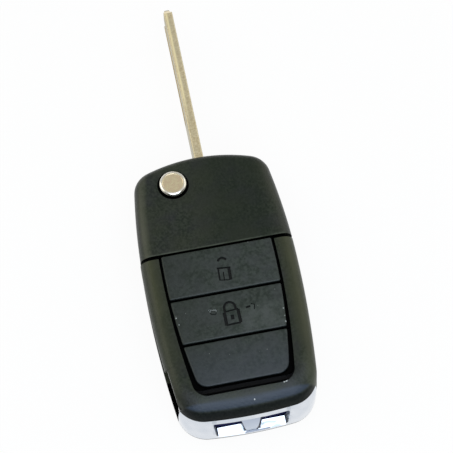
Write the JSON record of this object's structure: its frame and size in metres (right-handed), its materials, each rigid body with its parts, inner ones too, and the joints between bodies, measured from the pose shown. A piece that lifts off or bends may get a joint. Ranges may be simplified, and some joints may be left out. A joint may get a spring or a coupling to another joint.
{
  "type": "car remote key",
  "caption": "Folding car key with a remote control in its handle, a flip-out blade, a keypad and a bright end trim with ring windows.",
  "frame": {"origin": "middle of the closed housing's flat back face, which the key lies on", "axes": "+X across the key to the right as seen from the front, +Y towards the open blade's tip, +Z out of the front face"},
  "size_m": [0.0385, 0.1183, 0.0159],
  "materials": {
    "shell_plastic": "fine moulded grain, black",
    "key_rubber": "soft matt black",
    "slot_gloss": "gloss black",
    "bright_trim": "bright plated",
    "blade_metal": "plated steel, warm tint",
    "carrier_metal": "die cast",
    "pin_steel": "plain",
    "button_metal": "satin nickel, bright rim",
    "spring_steel": "plain",
    "transponder_body": "moulded",
    "membrane_rubber": "silicone",
    "board_laminate": "green solder mask",
    "switch_metal": "plated",
    "chip_plastic": "moulded",
    "crystal_metal": "plated can",
    "coil_ferrite": "ferrite and wire",
    "capacitor_body": "ceramic",
    "battery_metal": "plain",
    "contact_metal": "spring strip, plated",
    "tray_plastic": "moulded"
  },
  "bodies": {
    "housing": {"head_front_cover": "shell_plastic", "head_rear_cover": "shell_plastic", "transponder_chip": "transponder_body", "flip_spring": "spring_steel", "front_frame": "shell_plastic", "rear_cover": "shell_plastic", "blade_slot_liner": "slot_gloss", "end_trim": "bright_trim", "keypad_membrane": "membrane_rubber", "circuit_board": "board_laminate", "unlock_switch": "switch_metal", "lock_switch": "switch_metal", "boot_switch": "switch_metal", "control_chip": "chip_plastic", "crystal_can": "crystal_metal", "antenna_coil": "coil_ferrite", "chip_capacitors": "capacitor_body", "coin_battery": "battery_metal", "battery_contact_plus": "contact_metal", "battery_contact_minus": "contact_metal", "board_tray": "tray_plastic"},
    "blade": {"blade_carrier": "carrier_metal", "key_blade": "blade_metal", "blade_roll_pin": "pin_steel"},
    "release": {"release_button": "button_metal"},
    "unlock_key": {"unlock_button": "key_rubber"},
    "lock_key": {"lock_button": "key_rubber"},
    "boot_key": {"boot_button": "key_rubber"}
  },
  "joints": [
    {"name": "blade_flip", "type": "hinge", "parent": "housing", "child": "blade", "pos_m": [-0.0075, 0.02785, 0.0074], "axis": [0, 0, 1], "range_deg": [0, 180], "stiffness_Nm_per_rad": 0.01, "springref_deg": -91.67},
    {"name": "release_push", "type": "slide", "parent": "blade", "child": "release", "axis": [0, 0, -1], "range_m": [0, 0.0016], "stiffness_N_per_m": 1500, "springref_m": -0.0005, "deforming": ["flip_spring"]},
    {"name": "unlock_press", "type": "slide", "parent": "housing", "child": "unlock_key", "axis": [0, 0, -1], "range_m": [0, 0.00055], "stiffness_N_per_m": 2000, "springref_m": -0.0002},
    {"name": "lock_press", "type": "slide", "parent": "housing", "child": "lock_key", "axis": [0, 0, -1], "range_m": [0, 0.00055], "stiffness_N_per_m": 2000, "springref_m": -0.0002},
    {"name": "boot_press", "type": "slide", "parent": "housing", "child": "boot_key", "axis": [0, 0, -1], "range_m": [0, 0.00055], "stiffness_N_per_m": 2000, "springref_m": -0.0002}
  ]
}
